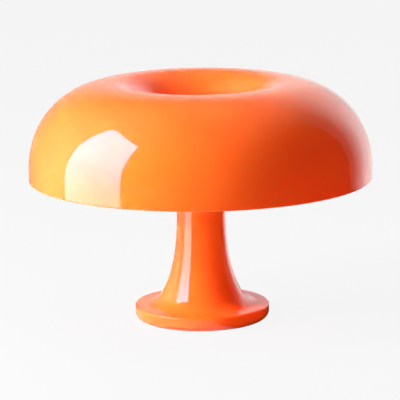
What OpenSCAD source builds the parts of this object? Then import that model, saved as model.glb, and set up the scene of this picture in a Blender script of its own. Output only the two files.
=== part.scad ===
// Mushroom table lamp: a domed shade with a well sunk in its top, on a trumpet stem with a flat foot.
// Millimetres, +Z up, origin on the table under the middle of the lamp. The cord leaves at +Y.

/* [Shade] */
// Outside diameter of the shade
shade_d = 320; // [312:1:340]
// Height of the crest of the shade above the table
lamp_h = 224.5; // [220:0.5:232]
// Height of the rim of the shade above the table
rim_z = 134.6; // [130:0.2:138]
// Height of the upright band above the rim
rim_band = 9; // [5:0.5:12]
// Diameter of the crest, the circle where the dome turns down into the well
crest_d = 162; // [154:1:166]
// Width of the well at its foot
well_d = 56; // [52:1:60]
// Fullness of the dome, where 2 is an ellipse
dome_fullness = 2.1; // [2:0.05:2.4]
// Wall of the shade
shade_wall = 3; // [2.4:0.1:3.4]
// Rounding of the edges of the rim
rim_round = 1.2; // [0.4:0.1:1.2]

/* [Foot and stem] */
// Diameter of the foot
foot_d = 126; // [124:1:134]
// Height of the top face of the foot above the table
foot_h = 14.4; // [14.2:0.2:17]
// Rounding of the lower edge of the foot
foot_lower_round = 6.5; // [5:0.5:7.5]
// Rounding of the upper edge of the foot
foot_upper_round = 1.8; // [1:0.1:2.4]
// Diameter of the stem where it meets the foot
flare_d = 88.5; // [84:0.5:92]
// Height over which the stem flares out, from the foot up
flare_h = 113; // [90:1:120]
// Steepness of the flare, as the power of its curve
flare_power = 3.75; // [3.2:0.05:4.2]
// Height over which the flare is rounded into the top of the foot
flare_blend = 9; // [4:0.5:11]
// Diameter of the neck
neck_d = 45.2; // [44:0.1:48]
// Height of the top of the neck above the table
neck_h = 148; // [145:0.5:150]
// Wall of the foot and the stem
body_wall = 2.5; // [2:0.1:3]
// Thickness of the closed top of the neck
collar_t = 4; // [3:0.5:6]

/* [Base] */
// Thickness of the felt pad
pad_t = 1.3; // [1:0.1:1.8]
// How far the felt pad stands below the foot
pad_proud = 0.8; // [0.4:0.1:1]
// Diameter of the felt pad
pad_d = 100; // [90:1:104]
// Diameter of the base cover
cover_d = 107; // [105:0.5:108]
// Thickness of the base cover
cover_t = 2; // [1.5:0.1:2.2]
// Diameter of the circle of the cover screws
screw_circle_d = 86; // [80:1:88]
// Number of cover screws
cover_screws_n = 3; // [2:1:3]
// Thread diameter of the cover screws
cover_screw_d = 3; // [2.5:0.1:3.5]
// Length of the cover screws
cover_screw_len = 7; // [5:0.5:8]
// Diameter of the bosses for the cover screws
boss_d = 8; // [7.4:0.2:9]

/* [Ballast] */
// Diameter of the ballast weight
ballast_d = 100; // [98:1:104]
// Diameter of its raised hub
hub_d = 34; // [30:1:35]
// Height of the top of the hub above the table
hub_top = 20; // [18:0.5:20.5]
// Height of the shoulder in the hub that the lower washer bears on
hub_shoulder = 11.2; // [10.8:0.1:12]

/* [Tie tube] */
// Thread diameter of the tie tube
rod_d = 10; // [9:0.1:11]
// Bore of the tie tube
rod_bore_d = 7; // [5:0.5:7.5]
// Width across the flats of the rod nuts
nut_af = 14; // [13:0.5:15]
// Thickness of the rod nuts
nut_t = 4; // [3:0.25:4.5]
// Diameter of the rod washers
washer_d = 18; // [16:0.5:18.5]
// Thickness of the rod washers
washer_t = 1.2; // [1:0.1:1.5]

/* [Shade cap] */
// Diameter of the shade cap
cap_d = 38; // [36:1:42]
// Height of the shade cap
cap_h = 10; // [9.6:0.1:12]
// Length of thread that the shade cap holds on the tie tube
cap_engagement = 4; // [3:0.25:4.5]
// Number of finger grips round the shade cap
grips_n = 12; // [8:1:14]
// Diameter of the hole in the floor of the well
floor_hole_d = 21; // [19:0.5:22]
// Thickness of the soft washer under the shade cap
soft_t = 1; // [0.6:0.1:1.4]

/* [Holder bracket] */
// Thickness of the pressed plate
plate_t = 1.5; // [1.2:0.1:1.8]
// Diameter of the disc in the middle of the bracket
plate_d = 40; // [34:1:44]
// Width of an arm
arm_w = 14; // [12:0.5:14]
// Inner radius of the bend in an arm
bend_r = 2; // [1:0.25:2.5]
// Height of the bulbs' axis above the neck
axis_rise = 12; // [11.5:0.25:13]

/* [Lampholders] */
// Outer diameter of a lampholder
holder_d = 28; // [25:0.5:29]
// Diameter of the shoulder at its back
holder_back_d = 25; // [24:0.5:26]
// Length of a lampholder
holder_len = 27; // [26:0.5:28]
// Thickness of the back wall of a lampholder
holder_back_t = 2.5; // [2:0.25:2.75]
// Thread diameter of the hollow nipple at its back
nipple_d = 10; // [9:0.1:10.5]
// Wall of the brass screw shell
shell_wall = 0.5; // [0.4:0.05:0.7]
// Thickness of the nut on the nipple
nipple_nut_t = 3; // [2:0.25:3.5]

/* [Bulbs] */
// Diameter of the glass globe
globe_d = 45; // [43:0.5:46]
// Length of a bulb from its tip contact to the top of the glass
bulb_len = 76; // [74:0.5:78]
// Thickness of the glass
glass_t = 0.9; // [0.7:0.1:1.2]
// Diameter of the threaded cap
bulb_cap_d = 13.9; // [13.5:0.05:14]
// Length of a bulb from its tip contact to the end of the threaded cap
bulb_cap_len = 24; // [23.5:0.5:25]

/* [Wiring] */
// Diameter of the bore that guides the cord
cord_bore_d = 5.4; // [4.8:0.1:5.6]
// Wall of the cord gland
gland_wall = 1; // [0.8:0.1:1.1]
// Length of the cord gland outside the foot
gland_nose = 2.5; // [1:0.25:4]
// Diameter of a lead
lead_d = 2.6; // [2:0.1:2.8]
// Length of the terminal block
block_len = 26; // [24:0.5:27]
// Width of the terminal block
block_w = 12; // [11:0.5:12]
// Height of the terminal block
block_h = 13; // [12:0.25:13.5]
// Spacing of neighbouring poles of the terminal block
pole_pitch = 5; // [4.5:0.1:5.2]

/* [Hidden] */
$fn = 64;

holders_n = 4;

orange = "#f2601a";
opal = "#f4f1ea";
brass = "#c9a24a";
steel = "#b9bcc0";
white_paint = "#e9e8e4";
black_plastic = "#26262a";

// Clearances
rest_gap = 0.05;
fit_gap = 0.05;
seat_gap = 0.3;
free_gap = 2;

// Levels of the base, from the table up
foot_z = pad_proud;
cover_z = pad_t;
cover_top = cover_z + cover_t;
ceiling_z = foot_h - body_wall;
ballast_z = cover_top + 0.4;
opening_r = cover_d / 2 + seat_gap;
cord_z = (cover_top + ceiling_z) / 2;

// Levels of the head, from the neck up
plate_top = neck_h + plate_t;
floor_under = plate_top + rest_gap;
floor_top = floor_under + shade_wall;
upper_nut_z = plate_top + washer_t;
cap_z = floor_top + soft_t;
chamber_top = upper_nut_z + nut_t + free_gap;
rod_top = chamber_top + cap_engagement;
cap_bore_top = rod_top + 1;
axis_z = neck_h + axis_rise;

// Levels of the tie tube's lower end
lower_washer_z = hub_shoulder - washer_t;
lower_nut_z = lower_washer_z - nut_t;
rod_bottom = lower_nut_z - 1;
rod_hole_d = rod_d + 2 * seat_gap;

// Section of the shade
eq_z = rim_z + rim_band;
crest_r = crest_d / 2;
dome_a = shade_d / 2 - crest_r;
well_a = crest_r - well_d / 2;
dome_b = lamp_h - eq_z;
curve_steps = 36;

// Places along a holder's axis, measured outwards from the middle of the lamp
nut_corner_r = nut_af / 2 / cos(30);
nut_in = well_back_r(axis_z + nut_corner_r) + free_gap;
tab_in = nut_in + nipple_nut_t;
holder_in = tab_in + plate_t;
tip_gap = 0.25;
contact_t = 0.5;
contact_rise = 1;
tip_in = holder_in + holder_back_t + contact_t + contact_rise + tip_gap;
holder_out = holder_in + holder_len;

// Inside of a holder
shell_in_r = bulb_cap_d / 2 + fit_gap;
shell_out_r = shell_in_r + shell_wall;
shell_z0 = 3;
shell_len = 17;
mouth_depth = 3;
chamber_r = shell_in_r - 1;
nipple_bore_d = 7;

// Outline of a bulb
insulator_z = 1.6;
bulb_cap_z = 5;
bulb_cap_wall = 0.5;
globe_r = globe_d / 2;
glass_neck_r = bulb_cap_d / 2 - bulb_cap_wall - fit_gap;
glass_step = 0.3;

// Places of the terminal block and the leads
block_y = hub_d / 2 + 1;
block_z = ceiling_z;
exit_z = block_z + block_h - 2.4;
pole_x = [for (side = [1, -1]) for (k = [0, 1]) side * (0.9 + k) * pole_pitch];
lead_side = arm_w / 2 + lead_d / 2 + 1.2;
lead_rise_x = 10;
lead_exit_z = neck_h - collar_t - 5;
lead_end_z = axis_z - 4;
lead_hole_d = lead_d + 2 * seat_gap;
lead_pole = [0, 3, 2, 1];
lead_sweep = [[-1, -4], [-3, -8], [-9.5, -16], [3, -8]];
lead_sides = 8;

function arc(c, r, from, to, n = 8) =
    [for (i = [0:n]) let (t = from + (to - from) * i / n) [c[0] + r * cos(t), c[1] + r * sin(t)]];

// Quarter of a superellipse about c, from the equator (t = 0) to the crest (t = 90)
function oval(c, a, b, p, from, to, n = curve_steps) =
    [for (i = [0:n]) let (t = from + (to - from) * i / n)
        [c[0] + a * pow(cos(t), 2 / p), c[1] + b * pow(sin(t), 2 / p)]];

// Parameter at which the superellipse of half height b reaches height z
function oval_at(z, b, p) = asin(pow((z - eq_z) / b, p / 2));

// Radius of the hidden side of the well's wall at height z
function well_back_r(z) =
    crest_r - (well_a - shade_wall) * sqrt(1 - pow(max(z - eq_z, 0) / (dome_b - shade_wall), 2));

function stem_r(z) =
    neck_d / 2 + (flare_d - neck_d) / 2 * pow(max(foot_h + flare_h - z, 0) / flare_h, flare_power);

// How far the stem's radius grows for each millimetre further down
function stem_slope(z) =
    (flare_d - neck_d) / 2 * flare_power / flare_h * pow((foot_h + flare_h - z) / flare_h, flare_power - 1);

// Arc that leaves the foot's top face level and meets the flare at the height of the blend
function blend_arc() =
    let (
        z = foot_h + flare_blend,
        slope = stem_slope(z),
        tilt = norm([1, slope]),
        r = flare_blend / (1 - slope / tilt)
    )
    arc([stem_r(z) + r / tilt, foot_h + r], r, 270, 180 + atan(slope));

function stem_curve(inset, from, to, n = 24) =
    [for (i = [0:n]) let (z = from + (to - from) * i / n) [stem_r(z) - inset, z]];

function bezier(p0, p1, p2, p3, n) =
    [for (i = [0:n]) let (t = i / n, u = 1 - t)
        u * u * u * p0 + 3 * u * u * t * p1 + 3 * u * t * t * p2 + t * t * t * p3];

function unit(v) = v / norm(v);

function without_first(list) = [for (i = [1:len(list) - 1]) list[i]];

function heading(p, i) = unit(p[min(i + 1, len(p) - 1)] - p[max(i - 1, 0)]);

function square_to(v, t) = unit(v - (v * t) * t);

// Frames carried along a path without twist
function frames(p, start) =
    [for (i = 0, v = square_to(start, heading(p, 0)); i < len(p);
          i = i + 1, v = i < len(p) ? square_to(v, heading(p, i)) : v) v];

// Round tube swept along the path p
module sweep(p, d, start) {
    side = frames(p, start);
    n = lead_sides;
    last = len(p) - 1;
    points = [for (i = [0:last]) let (a = side[i], b = cross(heading(p, i), a))
        for (k = [0:n - 1]) p[i] + d / 2 * (cos(k * 360 / n) * a + sin(k * 360 / n) * b)];
    walls = [for (i = [0:last - 1]) for (k = [0:n - 1])
        let (a = i * n + k, b = i * n + (k + 1) % n) each [[a, a + n, b], [b, a + n, b + n]]];
    ends = [[for (k = [0:n - 1]) k], [for (k = [n - 1:-1:0]) last * n + k]];
    polyhedron(points, concat(walls, ends), convexity = 6);
}

// Puts its children on the axis of holder i, with +Z outwards and 0 at the bulb's tip
module on_axis(i) {
    rotate([0, 0, 45 + (i - 1) * 360 / holders_n])
        translate([tip_in, 0, axis_z])
            rotate([0, 90, 0])
                children();
}

module ring(d_out, d_in, h) {
    difference() {
        cylinder(d = d_out, h = h);
        translate([0, 0, -1])
            cylinder(d = d_in, h = h + 2);
    }
}

module hex_nut(h, bore) {
    difference() {
        cylinder(r = nut_corner_r, h = h, $fn = 6);
        translate([0, 0, -1])
            cylinder(d = bore, h = h + 2);
    }
}

module around_screws() {
    for (i = [0:cover_screws_n - 1])
        rotate([0, 0, 270 + i * 360 / cover_screws_n])
            translate([screw_circle_d / 2, 0, 0])
                children();
}

// Outer part of the shade: rim, upright band and dome, up to the crest
module shade_dome() {
    r = shade_d / 2;
    w = shade_wall;
    outside = concat(
        arc([r - w + rim_round, rim_z + rim_round], rim_round, 180, 270, 4),
        arc([r - rim_round, rim_z + rim_round], rim_round, 270, 360, 4),
        oval([crest_r, eq_z], dome_a, dome_b, dome_fullness, 0, 90)
    );
    inside = oval([crest_r, eq_z], dome_a - w, dome_b - w, dome_fullness, 90, 0);
    color(orange)
        rotate_extrude()
            polygon(concat(outside, inside));
}

// Inner part of the same moulding: from the crest down to the floor that sits on the bracket
module shade_well() {
    w = shade_wall;
    floor_t = oval_at(floor_top, dome_b, 2);
    under_t = oval_at(floor_under, dome_b - w, 2);
    wall = oval([crest_r, eq_z], -well_a, dome_b, 2, 90, floor_t);
    back = oval([crest_r, eq_z], -(well_a - w), dome_b - w, 2, under_t, 90);
    floor_edge = [[floor_hole_d / 2, floor_top], [floor_hole_d / 2, floor_under]];
    color(orange)
        rotate_extrude()
            polygon(concat(wall, floor_edge, back));
}

// Knob that screws on the tie tube, hollow over the upper nut
module shade_cap() {
    edge = 3;
    skirt_r = floor_hole_d / 2 - 0.5;
    profile = concat(
        [[skirt_r, cap_z], [cap_d / 2, cap_z]],
        arc([cap_d / 2 - edge, cap_z + cap_h - edge - 0.5], edge, 0, 80, 6),
        [[0, cap_z + cap_h], [0, cap_bore_top]],
        [[rod_d / 2 + fit_gap, cap_bore_top], [rod_d / 2 + fit_gap, chamber_top], [skirt_r, chamber_top]]
    );
    color(orange)
        difference() {
            rotate_extrude()
                polygon(profile);
            for (i = [0:grips_n - 1])
                rotate([0, 0, i * 360 / grips_n])
                    translate([cap_d / 2 + 1.4, 0, cap_z - 1])
                        cylinder(d = 5, h = cap_h + 2);
        }
}

module cap_washer() {
    color(black_plastic)
        translate([0, 0, floor_top])
            ring(cap_d - 3, floor_hole_d + 1, soft_t);
}

// One hollow moulding: foot, trumpet stem and closed neck
module body_shell() {
    foot_r = foot_d / 2;
    flare_top = foot_h + flare_h;
    outside = concat(
        [[opening_r, foot_z]],
        arc([foot_r - foot_lower_round, foot_z + foot_lower_round], foot_lower_round, 270, 360),
        arc([foot_r - foot_upper_round, foot_h - foot_upper_round], foot_upper_round, 0, 90, 6),
        blend_arc(),
        without_first(stem_curve(0, foot_h + flare_blend, flare_top)),
        [[neck_d / 2, neck_h], [rod_hole_d / 2, neck_h]]
    );
    inside = concat(
        [[rod_hole_d / 2, neck_h - collar_t], [neck_d / 2 - body_wall, neck_h - collar_t]],
        stem_curve(body_wall, flare_top, foot_h),
        [[flare_d / 2 - body_wall, ceiling_z], [opening_r, ceiling_z]]
    );
    color(orange)
        difference() {
            union() {
                rotate_extrude()
                    polygon(concat(outside, inside));
                around_screws()
                    translate([0, 0, cover_top])
                        cylinder(d = boss_d, h = foot_h - body_wall / 2 - cover_top);
            }
            around_screws()
                translate([0, 0, cover_top - 1])
                    cylinder(d = cover_screw_d + 2 * fit_gap, h = cover_screw_len);
            translate([0, opening_r - 2, cord_z])
                rotate([-90, 0, 0])
                    cylinder(d = gland_d() + 2 * fit_gap, h = foot_r - opening_r + 4);
            for (i = [1:holders_n])
                rotate([0, 0, 45 + (i - 1) * 360 / holders_n])
                    translate([lead_rise_x, lead_side, lead_exit_z])
                        rotate([0, 90, 0])
                            cylinder(d = lead_hole_d, h = neck_d / 2);
        }
}

// Cast ring that fills the foot, with holes for the tie tube, the bosses and the cord
module ballast_weight() {
    notch_w = gland_d() + 5;
    notch_y = block_y + block_w + 2;
    color("#4a4c50")
        difference() {
            union() {
                translate([0, 0, ballast_z])
                    cylinder(d = ballast_d, h = ceiling_z - ballast_z);
                translate([0, 0, ballast_z])
                    cylinder(d = hub_d, h = hub_top - ballast_z);
            }
            translate([0, 0, ballast_z - 1])
                cylinder(d = rod_hole_d, h = hub_top);
            translate([0, 0, ballast_z - 1])
                cylinder(d = washer_d + 2, h = hub_shoulder - ballast_z + 1);
            around_screws()
                translate([0, 0, ballast_z - 1])
                    cylinder(d = boss_d + 2 * seat_gap, h = ceiling_z);
            translate([-notch_w / 2, notch_y, ballast_z - 1])
                cube([notch_w, ballast_d, ceiling_z]);
            translate([0, block_y + block_w / 2, ceiling_z - 6])
                cylinder(d = 3 + 2 * fit_gap, h = 7);
        }
}

module base_cover() {
    color(black_plastic)
        difference() {
            translate([0, 0, cover_z])
                cylinder(d = cover_d, h = cover_t);
            around_screws()
                translate([0, 0, cover_z - 1])
                    cylinder(d = cover_screw_d + 2 * fit_gap, h = cover_t + 2);
            around_screws()
                translate([0, 0, cover_z])
                    screw_head(fit_gap);
        }
}

// Countersunk head, flush with the outer face of the cover
module screw_head(gap) {
    cylinder(d1 = 2 * cover_screw_d + 2 * gap, d2 = cover_screw_d + 2 * gap, h = cover_screw_d / 2);
}

module cover_screws() {
    color(steel)
        around_screws()
            translate([0, 0, cover_z])
                difference() {
                    union() {
                        screw_head(0);
                        cylinder(d = cover_screw_d, h = cover_screw_len);
                    }
                    for (a = [0, 90])
                        rotate([0, 0, a])
                            translate([-1.4, -0.3, -1])
                                cube([2.8, 0.6, 1.9]);
                }
}

module felt_pad() {
    color("#3a3432")
        cylinder(d = pad_d, h = pad_t);
}

module tie_tube() {
    color(steel)
        translate([0, 0, rod_bottom])
            ring(rod_d, rod_bore_d, rod_top - rod_bottom);
}

module rod_nuts() {
    color(steel)
        for (z = [lower_nut_z, upper_nut_z])
            translate([0, 0, z])
                hex_nut(nut_t, rod_d + 2 * fit_gap);
}

module rod_washers() {
    color(steel)
        for (z = [lower_washer_z, plate_top])
            translate([0, 0, z])
                ring(washer_d, rod_d + 2 * fit_gap, washer_t);
}

function gland_d() = cord_bore_d + 2 * gland_wall;

// Rubber bush through the wall of the foot, with a lip inside and a rounded nose outside
module cord_gland() {
    lip = 0.4;
    lip_len = 2;
    seat_y = opening_r - 0.5;
    nose_y = foot_d / 2 + gland_nose;
    r = gland_d() / 2;
    profile = concat(
        [[cord_bore_d / 2, 0], [r + lip, 0], [r + lip, lip_len], [r, lip_len]],
        arc([r - 0.6, nose_y - seat_y + lip_len - 0.6], 0.6, 0, 90, 4),
        [[cord_bore_d / 2, nose_y - seat_y + lip_len]]
    );
    color(black_plastic)
        translate([0, seat_y - lip_len, cord_z])
            rotate([-90, 0, 0])
                rotate_extrude()
                    polygon(profile);
}

module terminal_block() {
    screw_hole_d = 3.4;
    groove_w = 1.2;
    color(white_paint)
        difference() {
            translate([-block_len / 2, block_y, block_z])
                cube([block_len, block_w, block_h]);
            for (x = pole_x, y = [0.27, 0.73])
                translate([x, block_y + y * block_w, block_z + block_h - 5])
                    cylinder(d = screw_hole_d, h = 6);
            for (x = pole_x)
                translate([x, block_y + block_w - 5, block_z + block_h / 2])
                    rotate([-90, 0, 0])
                        cylinder(d = 3, h = 6);
            for (side = [-1, 1])
                translate([side * 1.4 * pole_pitch - groove_w / 2, block_y - 1, block_z + block_h - 1.5])
                    cube([groove_w, block_w + 2, 3]);
            translate([0, block_y + block_w / 2, block_z - 1])
                cylinder(d = 3 + 2 * fit_gap, h = block_h + 2);
            translate([0, block_y + block_w / 2, block_z + 3])
                cylinder(d = 5.6, h = block_h);
        }
}

module terminal_screws() {
    color(brass)
        for (x = pole_x, y = [0.27, 0.73])
            translate([x, block_y + y * block_w, block_z + block_h - 5])
                difference() {
                    cylinder(d = 3.2, h = 4);
                    translate([-2, -0.3, 3.2])
                        cube([4, 0.6, 2]);
                }
}

module block_screw() {
    color(steel)
        translate([0, block_y + block_w / 2, ceiling_z])
            difference() {
                union() {
                    translate([0, 0, -5])
                        cylinder(d = 3, h = 10);
                    translate([0, 0, 3])
                        cylinder(d = 5.2, h = 2);
                }
                translate([-3, -0.35, 4.2])
                    cube([6, 0.7, 2]);
            }
}

// One arm of the bracket: flat out from the middle, then bent up into a tab with a round end
module bracket_arm() {
    outer_r = bend_r + plate_t;
    bend_x = holder_in - outer_r;
    translate([0, -arm_w / 2, neck_h])
        cube([bend_x, arm_w, plate_t]);
    translate([bend_x, arm_w / 2, neck_h + outer_r])
        rotate([90, 0, 0])
            intersection() {
                ring(2 * outer_r, 2 * bend_r, arm_w);
                translate([0, -2 * outer_r, -1])
                    cube([2 * outer_r, 2 * outer_r, arm_w + 2]);
            }
    translate([tab_in, -arm_w / 2, neck_h + outer_r])
        cube([plate_t, arm_w, axis_rise - outer_r]);
    translate([tab_in, 0, axis_z])
        rotate([0, 90, 0])
            cylinder(d = arm_w, h = plate_t);
}

module holder_bracket() {
    color(white_paint)
        difference() {
            union() {
                translate([0, 0, neck_h])
                    cylinder(d = plate_d, h = plate_t);
                for (i = [1:holders_n])
                    rotate([0, 0, 45 + (i - 1) * 360 / holders_n])
                        bracket_arm();
            }
            translate([0, 0, neck_h - 1])
                cylinder(d = rod_hole_d, h = plate_t + 2);
            for (i = [1:holders_n])
                rotate([0, 0, 45 + (i - 1) * 360 / holders_n])
                    translate([tab_in - 1, 0, axis_z])
                        rotate([0, 90, 0])
                            cylinder(d = nipple_d + 2 * seat_gap, h = plate_t + 2);
        }
}

module nipple_nuts() {
    color(steel)
        for (i = [1:holders_n])
            on_axis(i)
                translate([0, 0, nut_in - tip_in])
                    hex_nut(nipple_nut_t, nipple_d + 2 * fit_gap);
}

// Moulded body with its nipple, the chamber of the contact, the seat of the shell and an open mouth
module lampholder(i) {
    back = holder_in - tip_in;
    front = holder_out - tip_in;
    chamber_z = back + holder_back_t;
    neck = 6;
    edge = 1;
    profile = concat(
        [[nipple_bore_d / 2, nut_in - tip_in], [nipple_d / 2, nut_in - tip_in], [nipple_d / 2, back]],
        [[holder_back_d / 2, back], [holder_back_d / 2, back + neck]],
        [[holder_d / 2 - edge, back + neck + 1.5], [holder_d / 2 - edge, front - 5], [holder_d / 2, front - 5]],
        arc([holder_d / 2 - edge, front - edge], edge, 0, 90, 4),
        [[shell_out_r + 2, front], [shell_out_r + 2, front - mouth_depth]],
        [[shell_out_r + fit_gap, front - mouth_depth], [shell_out_r + fit_gap, shell_z0]],
        [[chamber_r, shell_z0], [chamber_r, chamber_z], [nipple_bore_d / 2, chamber_z]]
    );
    color(black_plastic)
        on_axis(i)
            rotate_extrude()
                polygon(profile);
}

module screw_shell(i) {
    color(brass)
        on_axis(i)
            translate([0, 0, shell_z0])
                ring(2 * shell_out_r, 2 * shell_in_r, shell_len);
}

// Disc over the nipple's bore, with the raised tongue that meets the bulb's tip
module centre_contact(i) {
    color(brass)
        on_axis(i)
            translate([0, 0, -tip_gap - contact_rise - contact_t]) {
                cylinder(r = chamber_r - 1, h = contact_t);
                cylinder(r = 1.8, h = contact_t + contact_rise);
            }
}

// Lead i, from the terminal block up the stem, out of the neck and into the back of its holder
module lead(i) {
    a = 45 + (i - 1) * 360 / holders_n;
    turn = [[cos(a), -sin(a), 0], [sin(a), cos(a), 0], [0, 0, 1]];
    swing = lead_sweep[i - 1];
    out = turn * [1, 0, 0];
    up = [0, 0, 1];
    stub = 1;
    wall_x = neck_d / 2 - body_wall;
    start = [pole_x[lead_pole[i - 1]], block_y, exit_z];
    foot = turn * [lead_rise_x, lead_side, exit_z + 42];
    shoulder = turn * [lead_rise_x, lead_side, lead_exit_z - 14];
    inner = turn * [wall_x - 4, lead_side, lead_exit_z];
    outer = turn * [neck_d / 2, lead_side, lead_exit_z];
    end = turn * [holder_in, lead_side, lead_end_z];
    bend = holder_in - neck_d / 2;
    from = start - [0, stub, 0];
    to = end - stub * out;
    path = concat(
        [start],
        bezier(from, from + [swing[0], swing[1], 1], foot - 20 * up, foot, 14),
        without_first(bezier(foot, foot + 10 * up, shoulder - 10 * up, shoulder, 4)),
        without_first(bezier(shoulder, shoulder + 9 * up, inner - 5 * out, inner, 8)),
        without_first(bezier(outer, outer + 0.75 * bend * out, to - 0.3 * bend * out - 10 * up, to, 10)),
        [end]
    );
    color(i % 2 == 0 ? "#3b6ea8" : "#7a4a2c")
        sweep(path, lead_d, [1, 0, 0]);
}

// Glass with its neck inside the cap, a short cone and a globe
module bulb_globe(i) {
    centre = bulb_len - globe_r;
    flare = 120;
    neck_z = bulb_cap_len + glass_step;
    shoulder_r = bulb_cap_d / 2 + glass_step;
    outside = concat(
        [[glass_neck_r, bulb_cap_len - 9], [glass_neck_r, bulb_cap_len], [shoulder_r, neck_z]],
        arc([0, centre], globe_r, flare - 180, 90, 30)
    );
    inside = concat(
        arc([0, centre], globe_r - glass_t, 90, flare - 180, 30),
        [[shoulder_r - glass_t, neck_z + 0.2], [glass_neck_r - glass_t, bulb_cap_len - 9]]
    );
    color(opal)
        on_axis(i)
            rotate_extrude()
                polygon(concat(outside, inside));
}

// Threaded cap with its flared edge against the glass
module bulb_cap(i) {
    r = bulb_cap_d / 2;
    w = bulb_cap_wall;
    profile = [
        [3, bulb_cap_z],
        [r, bulb_cap_z],
        [r, bulb_cap_len - 1.5],
        [r + 0.4, bulb_cap_len - 0.8],
        [r + 0.4, bulb_cap_len],
        [r - w, bulb_cap_len],
        [r - w, bulb_cap_z + w],
        [3, bulb_cap_z + w]
    ];
    color(brass)
        on_axis(i)
            rotate_extrude()
                polygon(profile);
}

module bulb_insulator(i) {
    color(black_plastic)
        on_axis(i)
            translate([0, 0, insulator_z])
                cylinder(r1 = 3, r2 = bulb_cap_d / 2 - 0.7, h = bulb_cap_z - insulator_z);
}

module bulb_tip(i) {
    profile = concat([[0, 0]], arc([1.4, 1], 1, 270, 360, 4), [[2.4, insulator_z], [0, insulator_z]]);
    color(steel)
        on_axis(i)
            rotate_extrude()
                polygon(profile);
}

shade_dome();
shade_well();
shade_cap();
cap_washer();
body_shell();
ballast_weight();
base_cover();
cover_screws();
felt_pad();
tie_tube();
rod_nuts();
rod_washers();
cord_gland();
terminal_block();
terminal_screws();
block_screw();
holder_bracket();
nipple_nuts();
for (i = [1:holders_n]) {
    lead(i);
    lampholder(i);
    screw_shell(i);
    centre_contact(i);
    bulb_globe(i);
    bulb_cap(i);
    bulb_insulator(i);
    bulb_tip(i);
}
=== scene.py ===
# %% [markdown]
# # A mushroom table lamp in glossy orange plastic
#
# The lamp has two large mouldings: a domed shade with a well sunk in its top, and a trumpet-shaped
# body that is stem and foot in one. Both are bodies of revolution, so most of this lesson is about
# drawing half a section and spinning it. The hidden pieces, such as bulbs and lampholders, sit where
# the CAD frame puts them.

# %% Load the frame
import math

import bmesh
import bpy
from mathutils import Matrix, Vector


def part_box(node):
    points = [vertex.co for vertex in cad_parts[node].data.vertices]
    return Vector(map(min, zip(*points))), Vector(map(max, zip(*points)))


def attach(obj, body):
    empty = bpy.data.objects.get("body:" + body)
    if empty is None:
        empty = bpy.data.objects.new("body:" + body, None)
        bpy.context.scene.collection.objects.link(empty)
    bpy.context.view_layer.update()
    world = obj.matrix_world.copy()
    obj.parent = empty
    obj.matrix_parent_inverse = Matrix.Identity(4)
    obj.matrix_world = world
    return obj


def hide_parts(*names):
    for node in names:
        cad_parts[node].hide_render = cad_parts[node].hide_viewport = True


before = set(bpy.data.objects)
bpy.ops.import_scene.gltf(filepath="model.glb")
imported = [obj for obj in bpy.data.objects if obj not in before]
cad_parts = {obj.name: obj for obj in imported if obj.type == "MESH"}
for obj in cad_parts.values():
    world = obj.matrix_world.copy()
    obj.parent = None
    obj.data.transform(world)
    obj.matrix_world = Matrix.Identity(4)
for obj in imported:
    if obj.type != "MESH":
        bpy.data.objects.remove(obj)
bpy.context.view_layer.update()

MM = 0.001

# %% [markdown]
# ## Reading sizes from the frame
#
# A piece that replaces a CAD solid has to fill the same space. The large radii and heights are read
# from the solids' own boxes, so they can't drift from the CAD model. Only the finer sizes, such as
# the wall and the roundings, are written here, in millimetres.

# %% Sizes of the shade and the body
def box_mm(node):
    return [Vector(corner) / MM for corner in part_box(node)]


shade_low, shade_high = box_mm("shade_dome")
well_low, well_high = box_mm("shade_well")
body_low, body_high = box_mm("body_shell")

shade_r = shade_high.x
rim_z = shade_low.z
crest_z = shade_high.z
crest_r = well_high.x
rim_band = 9
throat_r = 28
dome_fullness = 2.1
shade_wall = 3
rim_round = 1.2
floor_hole_r = 10.5
floor_under = well_low.z

foot_r = body_high.x
foot_z = body_low.z
neck_top = body_high.z
foot_h = 14.4
lower_round = 6.5
upper_round = 1.8
neck_r = 22.6
flare_r = 44.25
flare_h = 113
flare_power = 3.75
flare_blend = 9
body_wall = 2.5
opening_r = 53.8
collar_t = 4
tube_hole_r = 5.3
print(f"shade {2 * shade_r:.1f} mm wide, rim at {rim_z:.1f}, crest at {crest_z:.1f}")
print(f"foot {2 * foot_r:.1f} mm wide, neck top at {neck_top:.1f}")

# %% [markdown]
# ## Outlines
#
# An outline is half a section of a piece: a list of points (radius, height). Round stretches come
# from two small functions. An arc is part of a circle. An oval is a quarter of a superellipse, which
# is a little fuller than an ellipse and gives the shade its soft shoulder.

# %% Outline helpers
def arc(centre, radius, start, end, steps=10):
    angles = [math.radians(start + (end - start) * i / steps) for i in range(steps + 1)]
    return [(centre[0] + radius * math.cos(t), centre[1] + radius * math.sin(t)) for t in angles]


def oval(centre, across, up, power, start, end, steps=48):
    points = []
    for i in range(steps + 1):
        t = math.radians(start + (end - start) * i / steps)
        side = max(math.cos(t), 0) ** (2 / power)
        rise = max(math.sin(t), 0) ** (2 / power)
        points.append((centre[0] + across * side, centre[1] + up * rise))
    return points


def oval_angle(height, up, power):
    return math.degrees(math.asin((height / up) ** (power / 2)))


print("a quarter arc of 10 steps has", len(arc((0, 0), 1, 0, 90)), "points")

# %% [markdown]
# ## Spinning an outline
#
# The spin operator turns a chain of edges about an axis and joins its last copy to its first. It is
# quick and gives perfectly even quads, which matters here: a high gloss shows every uneven face. The
# seam is merged, the faces are turned outwards, and all faces are shaded smooth except across real
# corners.

# %% Helpers for pieces
def new_piece(name, bm):
    mesh = bpy.data.meshes.new(name)
    bm.to_mesh(mesh)
    bm.free()
    piece = bpy.data.objects.new(name, mesh)
    bpy.context.scene.collection.objects.link(piece)
    return piece


def smooth(piece, corner=38):
    piece.data.shade_smooth()
    piece.data.set_sharp_from_angle(angle=math.radians(corner))
    return piece


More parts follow.
